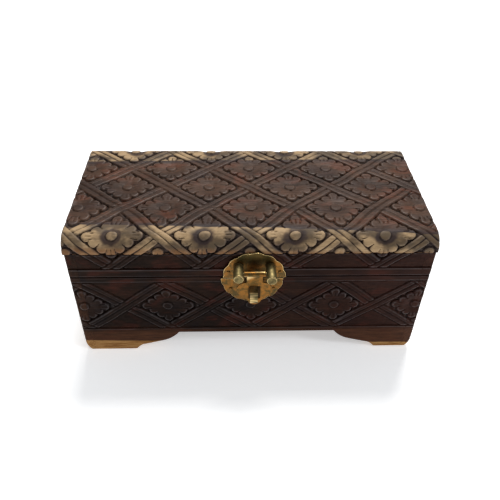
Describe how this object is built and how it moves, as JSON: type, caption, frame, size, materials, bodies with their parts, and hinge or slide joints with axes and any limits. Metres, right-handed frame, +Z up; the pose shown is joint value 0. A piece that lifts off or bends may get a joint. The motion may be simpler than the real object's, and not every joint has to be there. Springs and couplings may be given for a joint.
{
  "type": "jewelry box",
  "caption": "Carved wooden jewelry box on bracket feet, with a hinged lid, padded lining and a brass hasp closure for a padlock.",
  "frame": {"origin": "on the surface that the feet stand on, under the middle of the whole closed box with its hardware", "axes": "+Z up, +Y from the lock to the hinges, +X to the right as seen from the front"},
  "size_m": [0.2518, 0.1448, 0.108],
  "materials": {
    "dark_wood": "hand carved, dark oiled, satin",
    "banded_wood": "hand carved brown heartwood with pale sapwood bands, waxed",
    "velvet": "padded velvet",
    "lock_brass": "aged, tarnished in the recesses",
    "hinge_brass": "aged, dull"
  },
  "bodies": {
    "base": {"front_board": "dark_wood", "back_board": "dark_wood", "left_side_board": "dark_wood", "right_side_board": "dark_wood", "floor_panel": "dark_wood", "floor_pad": "velvet", "front_lining": "velvet", "back_lining": "velvet", "left_lining": "velvet", "right_lining": "velvet", "lower_lock_plate": "lock_brass", "staple": "lock_brass", "lower_plate_nail_left": "lock_brass", "lower_plate_nail_right": "lock_brass", "left_hinge_lower_leaf": "hinge_brass", "left_hinge_pin": "hinge_brass", "left_hinge_lower_screw_1": "hinge_brass", "left_hinge_lower_screw_2": "hinge_brass", "right_hinge_lower_leaf": "hinge_brass", "right_hinge_pin": "hinge_brass", "right_hinge_lower_screw_1": "hinge_brass", "right_hinge_lower_screw_2": "hinge_brass"},
    "lid": {"lid_top_board": "banded_wood", "lid_front_rail": "dark_wood", "lid_back_rail": "dark_wood", "lid_left_rail": "dark_wood", "lid_right_rail": "dark_wood", "lid_lining": "velvet", "upper_lock_plate": "lock_brass", "hasp_post_left": "lock_brass", "hasp_post_right": "lock_brass", "hasp_pin": "lock_brass", "upper_plate_nail_left": "lock_brass", "upper_plate_nail_right": "lock_brass", "left_hinge_upper_leaf": "hinge_brass", "left_hinge_upper_screw_1": "hinge_brass", "left_hinge_upper_screw_2": "hinge_brass", "right_hinge_upper_leaf": "hinge_brass", "right_hinge_upper_screw_1": "hinge_brass", "right_hinge_upper_screw_2": "hinge_brass"},
    "hasp": {"hasp": "lock_brass"}
  },
  "joints": [
    {"name": "lid_hinge", "type": "hinge", "parent": "base", "child": "lid", "pos_m": [0, 0.07025, 0.0753], "axis": [-1, 0, 0], "range_deg": [0, 105]},
    {"name": "hasp_hinge", "type": "hinge", "parent": "lid", "child": "hasp", "pos_m": [0.0016, -0.06425, 0.086], "axis": [-1, 0, 0], "range_deg": [-10, 150]}
  ]
}
